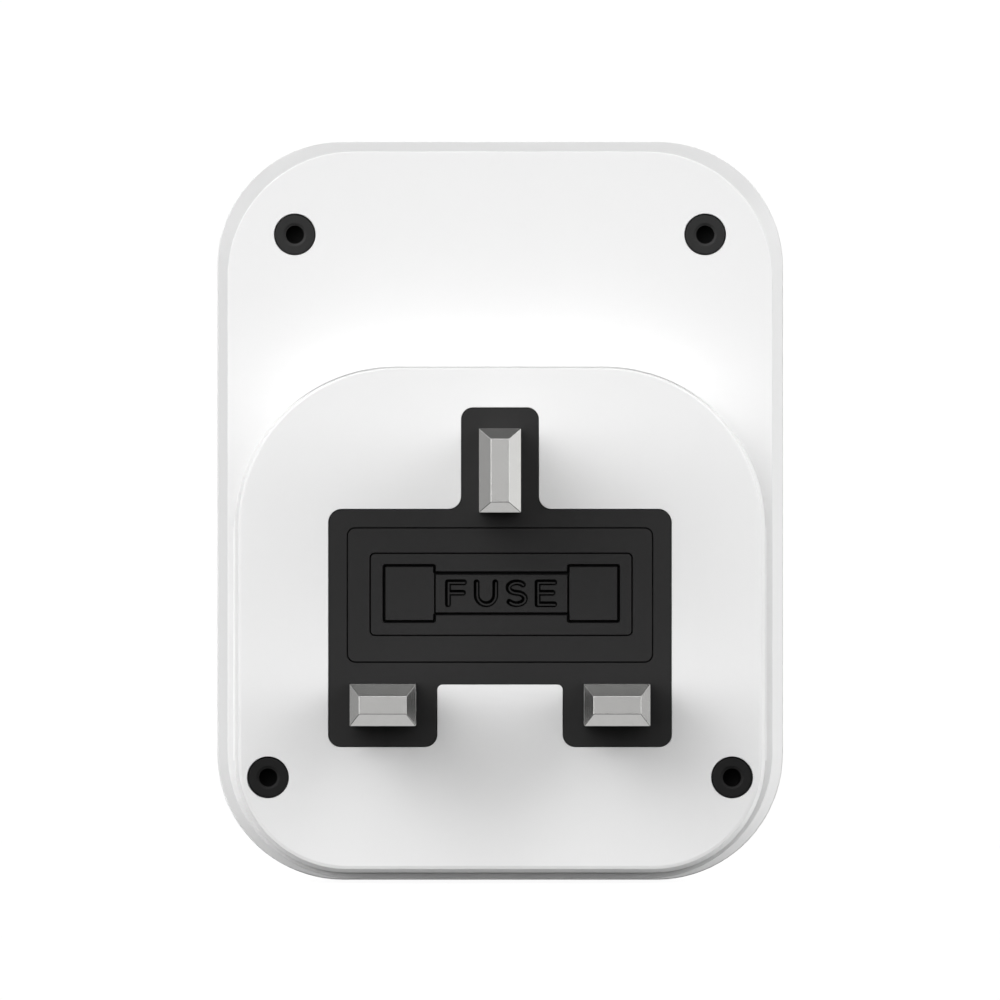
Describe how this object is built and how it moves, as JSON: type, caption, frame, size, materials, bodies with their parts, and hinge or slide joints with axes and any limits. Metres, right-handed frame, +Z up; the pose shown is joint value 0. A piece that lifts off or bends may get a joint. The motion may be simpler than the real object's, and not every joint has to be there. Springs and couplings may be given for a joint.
{
  "type": "socket extender with usb",
  "caption": "Plug-in mains socket extender: rounded white body with flat blade pins and a pull-out fuse carrier at the rear, a shuttered outlet and USB ports at the front.",
  "frame": {"origin": "centre of the pin triangle, on the plane of the pin carrier's rear face, flush with the boss face that meets the wall socket", "axes": "+Z up towards the earth pin, pins point along -Y, the outlet face looks along +Y, +X to the right seen from the pin side"},
  "size_m": [0.0546, 0.0597, 0.0711],
  "materials": {
    "white_shell": "satin white moulding",
    "black_moulding": "fine matte black moulding",
    "plated_pin": "nickel-plated brass, drawn",
    "sleeve": "black insulating sleeve",
    "ceramic": "glazed ceramic tube",
    "plated_brass": "plated end caps",
    "brass": "pressed brass strip",
    "block_moulding": "off-white insulating moulding",
    "zinc_screw": "zinc-plated steel",
    "black_screw": "black oxide",
    "dark_screw": "black oxide, duller",
    "shutter_moulding": "off-white moulding",
    "spring_steel": "spring wire",
    "circuit_board": "green solder mask",
    "port_shell": "tinned steel",
    "port_insulator": "white moulding",
    "port_insulator_dark": "black moulding",
    "ferrite": "ferrite",
    "coil_tape": "yellow winding tape",
    "capacitor_can": "dark sleeve",
    "chip_moulding": "moulded chip",
    "lead_brown": "brown insulation",
    "lead_blue": "blue insulation"
  },
  "bodies": {
    "housing": {"block_screws": "zinc_screw", "contact_block": "block_moulding", "controller_chip": "chip_moulding", "earth_contact": "brass", "earth_pin": "plated_pin", "front_cover": "white_shell", "fuse_clip_line": "brass", "fuse_clip_load": "brass", "input_capacitor": "capacitor_can", "line_contact": "brass", "line_lead": "lead_brown", "line_pin": "plated_pin", "line_pin_sleeve": "sleeve", "line_strap": "brass", "load_strap": "brass", "lower_housing_screws": "dark_screw", "neutral_contact": "brass", "neutral_lead": "lead_blue", "neutral_pin": "plated_pin", "neutral_pin_sleeve": "sleeve", "output_capacitor": "capacitor_can", "pin_carrier": "black_moulding", "rear_housing": "white_shell", "shutter_spring": "spring_steel", "transformer_coil": "coil_tape", "transformer_core": "ferrite", "upper_housing_screws": "black_screw", "usb_a_insulator_left": "port_insulator", "usb_a_insulator_right": "port_insulator", "usb_a_shell_left": "port_shell", "usb_a_shell_right": "port_shell", "usb_board": "circuit_board", "usb_c_insulator": "port_insulator_dark", "usb_c_shell": "port_shell"},
    "fuse_drawer": {"fuse_carrier": "black_moulding", "fuse_body": "ceramic", "fuse_caps": "plated_brass"},
    "shutter": {"shutter": "shutter_moulding"}
  },
  "joints": [
    {"name": "fuse_carrier_pull", "type": "slide", "parent": "housing", "child": "fuse_drawer", "axis": [0, -1, 0], "range_m": [0, 0.016]},
    {"name": "shutter_slide", "type": "slide", "parent": "housing", "child": "shutter", "axis": [0, 0, -1], "range_m": [0, 0.0055], "stiffness_N_per_m": 60, "springref_m": -0.003, "deforming": ["shutter_spring"]}
  ]
}
